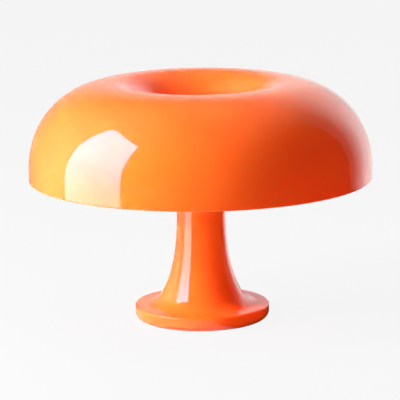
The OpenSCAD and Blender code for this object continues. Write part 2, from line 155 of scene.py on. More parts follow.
def spun_bmesh(outline, steps=192, closed=True):
    bm = bmesh.new()
    chain = [bm.verts.new((r * MM, 0, z * MM)) for r, z in outline]
    links = [bm.edges.new(pair) for pair in zip(chain, chain[1:])]
    if closed:
        links.append(bm.edges.new((chain[-1], chain[0])))
    bmesh.ops.spin(bm, geom=chain + links, cent=(0, 0, 0), axis=(0, 0, 1), angle=2 * math.pi,
                   steps=steps, use_merge=True)
    bmesh.ops.remove_doubles(bm, verts=bm.verts, dist=0.002 * MM)
    bmesh.ops.recalc_face_normals(bm, faces=bm.faces)
    return bm


def finished(name, bm, material, nodes, body_name, corner=38):
    piece = smooth(new_piece(name, bm), corner)
    piece.data.materials.append(material)
    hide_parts(*nodes)
    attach(piece, body_name)
    return piece


def report(piece):
    reach = [max(vert.co[k] for vert in piece.data.vertices) / MM for k in range(3)]
    faces = len(piece.data.polygons)
    print(f"{piece.name}: {faces} faces, reaches {reach[0]:.1f}, {reach[1]:.1f}, {reach[2]:.1f} mm")


# %% [markdown]
# ## The camera
#
# A photograph's outline fixes its camera. The ellipses of the rim and the foot give the height of the
# camera over the lamp, and the change between them gives its distance. This one looks down on the
# lamp by just under twelve degrees from 2.3 m, with a long lens, and leans by less than one degree.

# %% Camera
frame_px = 400
focal_px = 2492.4
sensor_mm = 36
camera_place = (-0.0008, -2.2809, 0.5811)
look_down = 11.608
lean = -0.683

camera_data = bpy.data.cameras.new("camera")
camera_data.sensor_width = sensor_mm
camera_data.lens = focal_px / frame_px * sensor_mm
camera = bpy.data.objects.new("camera", camera_data)
bpy.context.scene.collection.objects.link(camera)
tilt = Matrix.Rotation(math.radians(90 - look_down), 4, "X")
roll = Matrix.Rotation(math.radians(lean), 4, "Z")
camera.matrix_world = Matrix.Translation(camera_place) @ tilt @ roll
bpy.context.scene.camera = camera
print(f"lens {camera_data.lens:.0f} mm")

# %% [markdown]
# ## Colours and nodes
#
# Colours are written as they look on a screen, as sRGB hex values, and one function turns them into
# the linear values that the shaders use. Another adds a node and sets its values and its links in one
# go, so that each material below reads like a short recipe.

# %% Colour and node helpers
def colour(text):
    parts = [int(text[i:i + 2], 16) / 255 for i in (1, 3, 5)]
    linear = [c / 12.92 if c <= 0.04045 else ((c + 0.055) / 1.055) ** 2.4 for c in parts]
    return (*linear, 1)


def grey(value):
    return (value, value, value, 1)


def add(tree, kind, inputs=None, **settings):
    node = tree.nodes.new(kind)
    for key, value in settings.items():
        setattr(node, key, value)
    for key, value in (inputs or {}).items():
        if isinstance(value, bpy.types.NodeSocket):
            tree.links.new(value, node.inputs[key])
        else:
            node.inputs[key].default_value = value
    return node


def new_material(name):
    material = bpy.data.materials.new(name)
    material.use_nodes = True
    material.node_tree.nodes.clear()
    return material, material.node_tree


def per_mm(size):
    # Scale that gives a noise pattern features of about this size in millimetres
    return 1 / (size * MM)


print("photograph's background, linear:", [round(v, 3) for v in colour("#f6f6f6")[:3]])

# %% [markdown]
# ## The floor
#
# The lamp stands on a sweep of pale paper that runs up into the backdrop without a line. The camera
# and the reflections see its plain grey, with only a hint of shadow. All other rays meet an ordinary
# mid grey, so the floor throws back no more light than paper that lies partly in the shade.

# %% Floor
pale = colour("#f6f6f6")
floor_reach_m = 60
floor_drop = 0.1
shadow_share = 0.02
floor_glow = 0.97
bounce_grey = 0.45

bm = bmesh.new()
bmesh.ops.create_grid(bm, x_segments=1, y_segments=1, size=floor_reach_m)
bmesh.ops.translate(bm, vec=(0, 0, -floor_drop * MM), verts=bm.verts)
floor = new_piece("floor", bm)
material, tree = new_material("paper_sweep")
rays = add(tree, "ShaderNodeLightPath")
shaded = add(tree, "ShaderNodeBsdfDiffuse", {"Color": grey(shadow_share)})
shining = add(tree, "ShaderNodeEmission", {"Color": pale, "Strength": floor_glow})
seen = add(tree, "ShaderNodeAddShader", {0: shaded.outputs[0], 1: shining.outputs[0]})
bounce = add(tree, "ShaderNodeBsdfDiffuse", {"Color": grey(bounce_grey)})
direct = add(tree, "ShaderNodeMath", {0: rays.outputs["Is Camera Ray"], 1: rays.outputs["Is Glossy Ray"]},
             operation="MAXIMUM")
direct = add(tree, "ShaderNodeMath", {0: direct.outputs[0], 1: rays.outputs["Is Transmission Ray"]},
             operation="MAXIMUM")
surface = add(tree, "ShaderNodeMixShader", {0: direct.outputs[0], 1: bounce.outputs[0], 2: seen.outputs[0]})
add(tree, "ShaderNodeOutputMaterial", {"Surface": surface.outputs[0]})
floor.data.materials.append(material)
print(f"floor reaches {floor_reach_m} m each way")

# %% [markdown]
# ## The room in the gloss
#
# A polished surface shows the whole room. Behind this lamp hangs a pale backdrop, and on the right a
# brighter screen takes over from it. Some light spills past the softbox on the left, little comes from
# overhead, and the room in front is dark. So the room's brightness depends on the direction that a
# reflection looks in. A direction has three parts here: side runs from left (-1) to right (1), depth
# from front to back, and rise upwards. Each light in the room is a product of ramps. A ramp takes one
# part of the direction, the two values between which the brightness changes, and the brightness at
# each. The camera sees plain pale grey instead.

# %% World
room_lights = {
    "backdrop": [("depth", 0.74, 1.0, 0.15, 0.97), ("side", -0.25, 0.1, 0.5, 1.2),
                 ("side", 0.1, 0.6, 1.0, 0.0), ("depth", 0.1, 0.4, 0.0, 1.0)],
    "screen at right": [("depth", 0.52, 0.8, 0.28, 1.95), ("depth", 0.93, 1.0, 1.0, 0.5),
                        ("side", 0.1, 0.6, 0.0, 1.0), ("depth", 0.1, 0.4, 0.0, 1.0)],
    "spill at left": [("side", -0.2, -0.9, 0.0, 1.3), ("depth", 0.38, 1.0, 1.0, 0.0),
                      ("depth", -0.6, 0.0, 0.0, 1.0)],
    "overhead": [("rise", 0.65, 0.9, 0.02, 0.17)],
}


def room(tree, direction):
    # Brightness of the room in the direction of a reflection
    parts = add(tree, "ShaderNodeSeparateXYZ", {0: direction})
    part = dict(zip(("side", "depth", "rise"), parts.outputs))
    total = 0.0
    for ramps in room_lights.values():
        light = 1.0
        for name, start, end, low, high in ramps:
            ramp = add(tree, "ShaderNodeMapRange", {"Value": part[name], "From Min": start, "From Max": end,
                                                    "To Min": low, "To Max": high})
            light = add(tree, "ShaderNodeMath", {0: light, 1: ramp.outputs[0]},
                        operation="MULTIPLY").outputs[0]
        total = add(tree, "ShaderNodeMath", {0: total, 1: light}, operation="ADD").outputs[0]
    return total


world = bpy.data.worlds.new("studio")
world.use_nodes = True
tree = world.node_tree
tree.nodes.clear()
rays = add(tree, "ShaderNodeLightPath")
brightness = room(tree, add(tree, "ShaderNodeTexCoord").outputs["Generated"])
shown = add(tree, "ShaderNodeBackground", {"Color": pale, "Strength": 1.0})
around = add(tree, "ShaderNodeBackground", {"Color": pale, "Strength": brightness})
surface = add(tree, "ShaderNodeMixShader", {0: rays.outputs["Is Camera Ray"], 1: around.outputs[0],
                                            2: shown.outputs[0]})
add(tree, "ShaderNodeOutputWorld", {"Surface": surface.outputs[0]})
bpy.context.scene.world = world
bpy.context.scene.view_settings.view_transform = "Standard"
print("the world has", len(tree.nodes), "nodes")

# %% [markdown]
# ## Cards that only reflections see
#
# The highlights show where the light stood: one upright softbox close by on the left, with sharp
# edges in the gloss. A dark flag on the right makes the shade's right side deep and clear, and black
# cloth on the floor keeps a pale veil off the rim, the stem and the foot. The floor behind the lamp
# takes its light from the room above it, so in the gloss it has the same brightness. All of them are
# flat cards that neither light nor shade anything, and their places are in metres. The softbox is
# brighter towards its top, as a cloth is with its lamp high up. Its tint makes the highlight, together
# with the orange under it, as pale as in the photograph.

# %% Softbox, flag, black cloths and the floor behind
softbox_x = -0.35
softbox_y = (-0.345, -0.06)
softbox_z = (0.0, 0.57)
cloth_z = 0.0005
cloth_front, cloth_back = -0.3, 0.25
softbox_low, softbox_high, softbox_high_z = 5.0, 15.0, 0.3
tint_low, tint_high, tint_high_z = (1.0, 0.95, 0.92, 1), (1.0, 0.59, 1.0, 1), 0.17
black_grey = 0.006


def card(name, x, y, z, shader):
    # A flat card over these ranges, upright where x is one value and lying where z is one value
    spans = [(v[0] + v[1]) / 2 if isinstance(v, tuple) else v for v in (x, y, z)]
    wide = [v[1] - v[0] if isinstance(v, tuple) else 0 for v in (x, y, z)]
    bm = bmesh.new()
    bmesh.ops.create_grid(bm, x_segments=1, y_segments=1, size=0.5)
    if wide[0] == 0:
        bmesh.ops.rotate(bm, cent=(0, 0, 0), matrix=Matrix.Rotation(math.radians(90), 3, "Y"), verts=bm.verts)
    bmesh.ops.scale(bm, vec=[w if w else 1 for w in wide], verts=bm.verts)
    bmesh.ops.translate(bm, vec=spans, verts=bm.verts)
    sheet = new_piece(name, bm)
    material, tree = new_material(name + "_surface")
    add(tree, "ShaderNodeOutputMaterial", {"Surface": shader(tree).outputs[0]})
    sheet.data.materials.append(material)
    sheet.visible_camera = False
    sheet.visible_diffuse = False
    sheet.visible_transmission = False
    sheet.visible_shadow = False


def softbox_shader(tree):
    place = add(tree, "ShaderNodeTexCoord")
    height = add(tree, "ShaderNodeSeparateXYZ", {0: place.outputs["Object"]})
    strength = add(tree, "ShaderNodeMapRange", {"Value": height.outputs["Z"], "From Max": softbox_high_z,
                                                "To Min": softbox_low, "To Max": softbox_high})
    share = add(tree, "ShaderNodeMapRange", {"Value": height.outputs["Z"], "From Max": tint_high_z})
    tint = add(tree, "ShaderNodeMix", {"Factor": share.outputs[0], "A": tint_low, "B": tint_high},
               data_type="RGBA")
    return add(tree, "ShaderNodeEmission", {"Color": tint.outputs["Result"], "Strength": strength.outputs[0]})


def black_shader(tree):
    return add(tree, "ShaderNodeBsdfDiffuse", {"Color": grey(black_grey)})


def mirrored_room_shader(tree):
    # Incoming points back along a reflection, so turned round it is the way that the reflection looks
    back = add(tree, "ShaderNodeNewGeometry").outputs["Incoming"]
    direction = add(tree, "ShaderNodeVectorMath", {0: back, "Scale": -1.0}, operation="SCALE")
    return add(tree, "ShaderNodeEmission", {"Color": pale, "Strength": room(tree, direction.outputs[0])})


card("softbox_face", softbox_x, softbox_y, softbox_z, softbox_shader)
card("flag", 0.42, (-1.6, 0.06), (-0.1, 0.62), black_shader)
card("black_cloth_in_front", (-2.0, 0.9), (-20.0, cloth_front), cloth_z, black_shader)
card("black_cloth_at_right", (0.03, 0.9), (cloth_front, cloth_back), cloth_z, black_shader)
card("floor_behind", (-floor_reach_m, floor_reach_m), (cloth_back, floor_reach_m), cloth_z,
     mirrored_room_shader)
print("made the softbox's face, the flag, two cloths and the floor behind")

# %% [markdown]
# ## Lamps
#
# Four area lights do the lighting, and no reflection sees them. The key stands high on the left and
# gives the shade its run from yellow orange to deep red. A small one at the softbox lights the stem
# from the same side, a weak warm one stands in for light that the underside of the shade sends down
# on the foot, and a soft one from above opens the well.

# %% Lamps
warm_white = (1, 0.98, 0.95)
shade_glow = (1, 0.4, 0.2)


def area_light(name, place, target, size, watts, tint):
    data = bpy.data.lights.new(name, "AREA")
    data.shape = "RECTANGLE"
    data.size, data.size_y = size
    data.energy = watts
    data.color = tint
    light = bpy.data.objects.new(name, data)
    bpy.context.scene.collection.objects.link(light)
    aim = (Vector(target) - Vector(place)).to_track_quat("-Z", "Y")
    light.matrix_world = Matrix.Translation(place) @ aim.to_matrix().to_4x4()
    light.visible_glossy = False
    light.visible_camera = False


area_light("softbox", (softbox_x, -0.28, 0.10), (0, 0, 0.08), (0.28, 0.2), 1.6, warm_white)
area_light("key", (-1.39, -0.46, 0.76), (0, 0, 0.12), (0.6, 0.9), 94, warm_white)
area_light("glow_under_the_shade", (0.115, -0.085, 0.075), (0.02, -0.01, 0.035), (0.09, 0.09), 0.055,
           shade_glow)
area_light("top", (-0.1, 0.0, 1.6), (0, 0, 0.12), (0.8, 0.8), 8, (1, 1, 1))

# %% [markdown]
# ## Orange ABS
#
# The mouldings are solid-coloured ABS from a polished mould. It has a hard gloss with IOR 1.54 and
# takes light in: blue and green travel about a millimetre, red much further. So the lit side turns
# towards yellow and the shaded side glows deep red. A polished moulding still isn't a perfect mirror.
# It has a faint long-wave ripple from shrinkage, a fine orange peel and a light haze of dust and wipe
# marks. Light travels further in the thin wide shade than in the body, so there are two versions.

# %% Material: glossy orange ABS
abs_colour, abs_drift = "#ff6320", "#ff601d"
gloss_low, gloss_high = 0.045, 0.085
reach_shade, reach_body, reach_in_well = 22, 4, 4
reach_rgb = (1.0, 0.06, 0.03)
well_from, well_to = 25, 60


def abs_plastic(name, reach):
    material, tree = new_material(name)
    place = add(tree, "ShaderNodeTexCoord").outputs["Object"]
    # A slow drift of colour, so that large areas aren't dead even
    cloud = add(tree, "ShaderNodeTexNoise", {"Vector": place, "Scale": per_mm(70), "Detail": 3})
    tint = add(tree, "ShaderNodeMix", {"Factor": cloud.outputs["Fac"], "A": colour(abs_colour),
                                       "B": colour(abs_drift)}, data_type="RGBA")
    # The haze of dust and wipe marks softens the edges of the highlights here and there
    haze = add(tree, "ShaderNodeTexNoise", {"Vector": place, "Scale": per_mm(9), "Detail": 6,
                                            "Roughness": 0.65})
    rough = add(tree, "ShaderNodeMapRange", {"Value": haze.outputs["Fac"], "From Min": 0.35, "From Max": 0.75,
                                             "To Min": gloss_low, "To Max": gloss_high})
    # The ripple bends long reflections. Real orange peel is finer than the picture can show, so it is
    # drawn as coarse as 1.6 mm
    ripple = add(tree, "ShaderNodeTexNoise", {"Vector": place, "Scale": per_mm(60), "Detail": 1})
    peel = add(tree, "ShaderNodeTexNoise", {"Vector": place, "Scale": per_mm(1.6), "Detail": 2})
    wave = add(tree, "ShaderNodeBump", {"Height": ripple.outputs["Fac"], "Strength": 0.12,
                                        "Distance": 1.0 * MM})
    skin = add(tree, "ShaderNodeBump", {"Height": peel.outputs["Fac"], "Strength": 0.05,
                                        "Distance": 0.02 * MM, "Normal": wave.outputs[0]})
    # In the narrow bottom of the well the light can't travel as far as under the open dome
    flat = add(tree, "ShaderNodeVectorMath", {0: place, 1: (1, 1, 0)}, operation="MULTIPLY")
    radius = add(tree, "ShaderNodeVectorMath", {0: flat.outputs[0]}, operation="LENGTH")
    travel = add(tree, "ShaderNodeMapRange", {"Value": radius.outputs["Value"], "From Min": well_from * MM,
                                              "From Max": well_to * MM, "To Min": reach_in_well * MM,
                                              "To Max": reach * MM})
    surface = add(tree, "ShaderNodeBsdfPrincipled",
                  {"Base Color": tint.outputs["Result"], "Roughness": rough.outputs[0], "IOR": 1.54,
                   "Subsurface Weight": 1.0, "Subsurface Radius": reach_rgb,
                   "Subsurface Scale": travel.outputs[0], "Normal": skin.outputs[0]})
    add(tree, "ShaderNodeOutputMaterial", {"Surface": surface.outputs[0]})
    return material


shade_abs = abs_plastic("glossy_orange_abs_3mm", reach_shade)
body_abs = abs_plastic("glossy_orange_abs_thick", reach_body)
print("made", shade_abs.name, "and", body_abs.name)

# %% [markdown]
# ## The shade
#
# The real shade is one injection moulding, 3 mm thick all over: an upright band at the rim, a full
# shoulder, a crest, and a well that runs down to a flat floor on the bracket. Its outline goes round
# the outside first and comes back along the inside, so one spin gives a closed wall.

# %% Shade
def shade_outline():
    level = rim_z + rim_band
    rise = crest_z - level
    inner = rise - shade_wall
    well = crest_r - throat_r
    floor_angle = oval_angle(floor_under + shade_wall - level, rise, 2)
    under_angle = oval_angle(floor_under - level, inner, 2)
    middle = (crest_r, level)
    outside = arc((shade_r - shade_wall + rim_round, rim_z + rim_round), rim_round, 180, 270, 5)
    outside += arc((shade_r - rim_round, rim_z + rim_round), rim_round, 270, 360, 5)
    outside += [(shade_r, rim_z + rim_band * k / 3) for k in (1, 2)]
    outside += oval(middle, shade_r - crest_r, rise, dome_fullness, 0, 90)
    outside += oval(middle, -well, rise, 2, 90, floor_angle)[1:]
    outside += [(floor_hole_r, floor_under + shade_wall), (floor_hole_r, floor_under)]
    inside = oval(middle, shade_wall - well, inner, 2, under_angle, 90)
    inside += oval(middle, shade_r - crest_r - shade_wall, inner, dome_fullness, 90, 0)[1:]
    return outside + inside


shade = finished("shade_moulding", spun_bmesh(shade_outline(), steps=256), shade_abs,
                 ("shade_dome", "shade_well"), "shade")
report(shade)

# %% [markdown]
# ## The body
#
# Stem and foot are a second moulding, hollow and open below. The stem's radius grows downwards by a
# power curve and runs into the foot's top in a soft arc. The foot has a small rounding at its upper
# edge and a large one at its lower edge, so that it seems to hover on the table.

# %% Body
def stem_r(z):
    share = max(foot_h + flare_h - z, 0) / flare_h
    return neck_r + (flare_r - neck_r) * share ** flare_power


def stem_slope(z):
    share = (foot_h + flare_h - z) / flare_h
    return (flare_r - neck_r) * flare_power / flare_h * share ** (flare_power - 1)


def stem_curve(inset, start, end, steps=40):
    heights = [start + (end - start) * i / steps for i in range(steps + 1)]
    return [(stem_r(z) - inset, z) for z in heights]


def body_outline():
    # The arc between stem and foot leaves the stem in the stem's own direction, at height meet
    meet = foot_h + flare_blend
    slope = stem_slope(meet)
    tilt = math.hypot(1, slope)
    blend_r = flare_blend / (1 - slope / tilt)
    ceiling = foot_h - body_wall
    top = foot_h + flare_h
    outside = [(opening_r, foot_z)]
    outside += arc((foot_r - lower_round, foot_z + lower_round), lower_round, 270, 360, 16)
    outside += arc((foot_r - upper_round, foot_h - upper_round), upper_round, 0, 90, 8)
    outside += arc((stem_r(meet) + blend_r / tilt, foot_h + blend_r), blend_r, 270,
                   180 + math.degrees(math.atan(slope)), 16)
    outside += stem_curve(0, meet, top)[1:]
    outside += [(neck_r, top + (neck_top - top) * k / 3) for k in (1, 2, 3)]
    outside += [(tube_hole_r, neck_top)]
    inside = [(tube_hole_r, neck_top - collar_t), (neck_r - body_wall, neck_top - collar_t)]
    inside += stem_curve(body_wall, top, foot_h)
    inside += [(flare_r - body_wall, ceiling), (opening_r, ceiling)]
    return outside + inside


body = finished("body_moulding", spun_bmesh(body_outline(), steps=192), body_abs,
                ("body_shell",), "base")
report(body)

# %% [markdown]
# ## Holes through the body
#
# Two kinds of hole go through the moulding: one at the back for the cord's gland, and four in the
# neck for the leads. A boolean cuts them cleanly from one set of cylinders. The cutter is thrown away
# afterwards, so only the finished mesh stays.

# %% Cut the gland's hole and the lead holes
gland_low, gland_high = box_mm("cord_gland")
gland_z = (gland_low.z + gland_high.z) / 2
gland_hole_r = 3.75
past_wall = 2
holders = 4
holder_turns = [math.radians(45 + 90 * i) for i in range(holders)]
lead_side = 9.5
lead_z = neck_top - collar_t - 5
lead_hole_r = 1.6
lead_from, lead_length = 10, 20


def peg(bm, radius, start, direction, length, steps=32):
    turn = Vector((0, 0, 1)).rotation_difference(Vector(direction)).to_matrix().to_4x4()
    middle = (Vector(start) + Vector(direction) * length / 2) * MM
    bmesh.ops.create_cone(bm, cap_ends=True, segments=steps, radius1=radius * MM, radius2=radius * MM,
                          depth=length * MM, matrix=Matrix.Translation(middle) @ turn)


def cut(piece, cutter_bmesh):
    cutter = new_piece("cutter", cutter_bmesh)
    modifier = piece.modifiers.new("holes", "BOOLEAN")
    modifier.operation = "DIFFERENCE"
    modifier.solver = "EXACT"
    modifier.object = cutter
    whole = piece.evaluated_get(bpy.context.evaluated_depsgraph_get())
    old, piece.data = piece.data, bpy.data.meshes.new_from_object(whole)
    piece.modifiers.clear()
    bpy.data.objects.remove(cutter)
    bpy.data.meshes.remove(old)


bm = bmesh.new()
peg(bm, gland_hole_r, (0, opening_r - past_wall, gland_z), (0, 1, 0), foot_r - opening_r + 2 * past_wall)
for turn in holder_turns:
    out = Vector((math.cos(turn), math.sin(turn), 0))
    across = Vector((-math.sin(turn), math.cos(turn), 0))
    start = out * lead_from + across * lead_side + Vector((0, 0, lead_z))
    peg(bm, lead_hole_r, start, out, lead_length, 24)
cut(body, bm)
# The boolean makes a new mesh, which has to be shaded smooth again
smooth(body)
report(body)

# %% [markdown]
# ## The shade's cap
#
# The shade is held by a cap that screws on the tie tube. It is a small moulding of the same orange
# plastic with twelve shallow finger grips. Its outline is a circle whose points are drawn in where a
# grip is, and a little smoothing takes the sharp corners off. That loop is then extruded upwards and
# inwards, ring by ring, so the grips run out in the rounded top edge. The top is slightly domed, and
# from below a chamber and a bore for the tube go up into the cap.

# %% Shade cap
cap_low, cap_high = box_mm("shade_cap")
cap_r = 19
grip_count = 12
grip_r = 2.5
grip_ring = 20.4
cap_edge = 2.6
cap_points = 288
smoothing_passes = 3
edge_steps = 8
cap_dome = 0.35
# Rings of the domed top: a share of its radius, and the height over its edge
dome_steps = ((0.75, 0.15), (0.5, 0.25), (0.25, 0.33), (0, cap_dome))
chamber_r, chamber_top = 10, 156.7
bore_r, bore_top = 5.05, 161.7


def cap_loop_radius(angle):
    step = 2 * math.pi / grip_count
    off = (angle + step / 2) % step - step / 2
    beyond = grip_r ** 2 - (grip_ring * math.sin(off)) ** 2
    if beyond <= 0:
        return cap_r
    return min(cap_r, grip_ring * math.cos(off) - math.sqrt(beyond))


def ring_on(bm, edges, radius_at, z):
    # Extrudes a loop of edges to a new ring, whose radius may depend on the angle
    new = bmesh.ops.extrude_edge_only(bm, edges=edges)["geom"]
    for vert in (v for v in new if isinstance(v, bmesh.types.BMVert)):
        angle = math.atan2(vert.co.y, vert.co.x)
        radius = radius_at(angle)
        vert.co = (radius * math.cos(angle) * MM, radius * math.sin(angle) * MM, z * MM)
    return [e for e in new if isinstance(e, bmesh.types.BMEdge)]


def collar(bm, edges, outline):
    # Extrudes a loop of edges through round rings, each a pair (radius, height)
    for radius, z in outline:
        edges = ring_on(bm, edges, lambda angle: radius, z)
    return edges


def shade_cap_bmesh():
    bm = bmesh.new()
    bmesh.ops.create_circle(bm, segments=cap_points, radius=cap_r * MM)
    for vert in bm.verts:
        vert.co *= cap_loop_radius(math.atan2(vert.co.y, vert.co.x)) / cap_r
        vert.co.z = cap_low.z * MM
    for _ in range(smoothing_passes):
        bmesh.ops.smooth_vert(bm, verts=bm.verts, factor=0.5, use_axis_x=True, use_axis_y=True)
    shape = {round(math.atan2(v.co.y, v.co.x), 4): v.co.xy.length / MM for v in bm.verts}

    def shrunk(inset):
        return lambda angle: shape[round(angle, 4)] * (cap_r - inset) / cap_r

    bottom = list(bm.edges)
    upper = ring_on(bm, bottom, shrunk(0), cap_high.z - cap_edge)
    for step in range(1, edge_steps + 1):
        t = math.radians(90 * step / edge_steps)
        upper = ring_on(bm, upper, shrunk(cap_edge * (1 - math.cos(t))),
                        cap_high.z - cap_edge * (1 - math.sin(t)) - cap_dome)
    flat_r, dome_from = cap_r - cap_edge, cap_high.z - cap_dome
    collar(bm, upper, [(share * flat_r, dome_from + rise) for share, rise in dome_steps])
    collar(bm, bottom, [(chamber_r, cap_low.z), (chamber_r, chamber_top), (bore_r, chamber_top),
                        (bore_r, bore_top), (0, bore_top)])
    bmesh.ops.remove_doubles(bm, verts=bm.verts, dist=0.004 * MM)
    bmesh.ops.recalc_face_normals(bm, faces=bm.faces)
    return bm


shade_cap = finished("shade_cap_moulding", shade_cap_bmesh(), body_abs, ("shade_cap",),
                     "shade_cap")
report(shade_cap)

# %% [markdown]
# ## Where the bulbs are
#
# Four small bulbs lie under the shade like the spokes of a wheel. Each is built upright at the
# origin, with its tip contact at zero, and then laid on its own axis. The axis comes from the box of
# its glass in the CAD model: the globe is the part that reaches furthest out.

# %% Bulb axes
globe_r = 22.5
globe_centre = 53.5
glass_low, glass_high = box_mm("bulb_globe_1")
bulb_z = (glass_low.z + glass_high.z) / 2
tip_in = (glass_high.x - globe_r) / math.cos(holder_turns[0]) - globe_centre


def on_axis(i):
    turn = Matrix.Rotation(holder_turns[i - 1], 4, "Z")
    lying = Matrix.Rotation(math.radians(90), 4, "Y")
    return turn @ Matrix.Translation((tip_in * MM, 0, bulb_z * MM)) @ lying


def laid_out(name, bm, i, material, node, body_name):
    bmesh.ops.transform(bm, matrix=on_axis(i), verts=bm.verts)
    finished(f"{name}_{i}", bm, material, (f"{node}_{i}",), body_name, corner=50)


print(f"bulb axes at {bulb_z:.1f} mm, tips at {tip_in:.1f} mm from the middle")

# %% [markdown]
# ## Opal glass, nickel and black glass
#
# The bulbs are opal: clear glass with white powder fired on its inside, so the globe looks milky with
# a sharp gloss on top. Their caps are thin brass with a bright nickel plate that the die has left
# faintly drawn round. Black glass insulates the tip, which is a flattened drop of solder.
#
# Most materials here differ in three ways only: how mottled the colour is, how uneven the gloss is
# and how much grain the surface has. Three small functions describe those, each with the size of its
# pattern in millimetres.

# %% Materials of the bulbs
def surface_material(name, inputs):
    # Principled material whose inputs may be values, or functions of the tree and the place
    material, tree = new_material(name)
    place = add(tree, "ShaderNodeTexCoord").outputs["Object"]
    ready = {key: value(tree, place) if callable(value) else value for key, value in inputs.items()}
    surface = add(tree, "ShaderNodeBsdfPrincipled", ready)
    add(tree, "ShaderNodeOutputMaterial", {"Surface": surface.outputs[0]})
    return material


def mottled(size, first, second, detail=3):
    def make(tree, place):
        noise = add(tree, "ShaderNodeTexNoise", {"Vector": place, "Scale": per_mm(size), "Detail": detail})
        mix = add(tree, "ShaderNodeMix", {"Factor": noise.outputs["Fac"], "A": colour(first),
                                          "B": colour(second)}, data_type="RGBA")
        return mix.outputs["Result"]
    return make


def uneven(size, low, high, detail=3):
    def make(tree, place):
        noise = add(tree, "ShaderNodeTexNoise", {"Vector": place, "Scale": per_mm(size), "Detail": detail})
        return add(tree, "ShaderNodeMapRange", {"Value": noise.outputs["Fac"], "From Min": 0.3,
                                                "From Max": 0.7, "To Min": low, "To Max": high}).outputs[0]
    return make


def grain(size, depth, strength=0.4, detail=2, stretch=(1, 1, 1)):
    def make(tree, place):
        scaled = add(tree, "ShaderNodeMapping", {"Vector": place, "Scale": stretch})
        noise = add(tree, "ShaderNodeTexNoise", {"Vector": scaled.outputs[0], "Scale": per_mm(size),
                                                 "Detail": detail})
        return add(tree, "ShaderNodeBump", {"Height": noise.outputs["Fac"], "Strength": strength,
                                            "Distance": depth * MM}).outputs[0]
    return make


def dress(node, material):
    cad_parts[node].material_slots[0].material = material


# Opal glass gives a milky depth under a sharp, slightly wavy gloss
opal_glass = surface_material("fired_opal_glass", {
    "Base Color": mottled(12, "#e3e0d8", "#e9e6de"), "Roughness": uneven(15, 0.03, 0.07), "IOR": 1.52,
    "Subsurface Weight": 0.6, "Subsurface Radius": (1.0, 0.9, 0.75), "Subsurface Scale": 6 * MM,
    "Normal": grain(18, 0.3, 0.08)})
# Nickel gives warm, broken highlights. Its drawing marks are too fine to show and are drawn at 0.8 mm
nickel = surface_material("nickel_plated_brass", {
    "Base Color": mottled(4, "#cfcabf", "#bdb7aa"), "Metallic": 1.0, "Roughness": uneven(2, 0.16, 0.3, 5),
    "Normal": grain(0.8, 0.03, 0.2)})
# Black glass stays black from all sides, with one small clear highlight
insulator_glass = surface_material("fired_black_glass", {
    "Base Color": mottled(3, "#15141a", "#232128"), "Roughness": uneven(2, 0.12, 0.3), "IOR": 1.55,
    "Normal": grain(1.5, 0.08, 0.3)})
# Solder is a dull grey metal, uneven like a drop that froze in a moment
solder = surface_material("tin_solder", {
    "Base Color": mottled(1.5, "#b9b8b5", "#8f8e8a"), "Metallic": 1.0, "Roughness": uneven(1, 0.3, 0.5, 4),
    "Normal": grain(0.9, 0.08, 0.4)})
print("made", opal_glass.name, nickel.name, insulator_glass.name, solder.name)

# %% [markdown]
# ## Threads
#
# A screw thread is a spin that climbs: a wavy chain of points is turned once about the axis and moved
# up by one pitch. The end of the turn then meets the chain one wave higher, and merging the doubles
# closes the helix without a seam. Two cuts give it level ends, and collars are extruded from them.
# The small bulb thread has a pitch of 2.82 mm.

# %% Thread helper
thread_pitch = 2.82
wave_points = 8


def thread_bmesh(crest_r, root_r, start, end, pitch=thread_pitch, steps=48):
    bm = bmesh.new()
    turns = math.ceil((end - start) / pitch) + 2
    chain = []
    for i in range(turns * wave_points + 1):
        wave = (1 + math.cos(2 * math.pi * i / wave_points)) / 2
        radius = root_r + (crest_r - root_r) * wave
        chain.append(bm.verts.new((radius * MM, 0, (start + pitch * (i / wave_points - 2)) * MM)))
    links = [bm.edges.new(pair) for pair in zip(chain, chain[1:])]
    bmesh.ops.spin(bm, geom=chain + links, cent=(0, 0, 0), axis=(0, 0, 1), dvec=(0, 0, pitch / steps * MM),
                   angle=2 * math.pi, steps=steps, use_merge=False)
    bmesh.ops.remove_doubles(bm, verts=bm.verts, dist=0.01 * MM)
    for z, clear in ((start, "clear_inner"), (end, "clear_outer")):
        bmesh.ops.bisect_plane(bm, geom=bm.verts[:] + bm.edges[:] + bm.faces[:], plane_co=(0, 0, z * MM),
                               plane_no=(0, 0, 1), **{clear: True})
    bmesh.ops.remove_doubles(bm, verts=bm.verts, dist=0.02 * MM)
    return bm


def open_edges(bm, z):
    return [e for e in bm.edges if e.is_boundary and all(abs(v.co.z / MM - z) < 0.01 for v in e.verts)]


print("a thread point stands every", round(thread_pitch / wave_points, 3), "mm along the axis")

# %% [markdown]
# ## The bulbs
#
# A globe bulb is blown in one with its neck, which is cemented into the threaded cap. The globe is an
# arc, and a smooth curve joins it to the narrow neck: it starts in the direction of the neck and ends
# in the direction of the globe. The cap is a short piece of thread with a narrowed end on one side
# and a rolled collar round the glass on the other.

# %% Bulbs
glass_in_cap = [(0, 15), (6.35, 15), (6.35, 24)]
neck_start = Vector((7.25, 24.3))
neck_way = Vector((0.1, 1))
neck_leaves = -48
start_pull, end_pull = 5, 6
neck_points = 12
cap_crest_r, cap_root_r = 6.95, 6.35
cap_thread = (6.4, 19.6)
cap_end = [(6.2, 5.9), (5.9, 5.2), (5.6, 5.0), (3.0, 5.0), (0, 5.0)]
cap_collar = [(6.7, 20.2), (6.72, 22.3), (7.0, 22.9), (7.32, 23.3), (7.35, 24.0), (6.45, 24.0), (6.4, 22.0),
              (0, 22.0)]


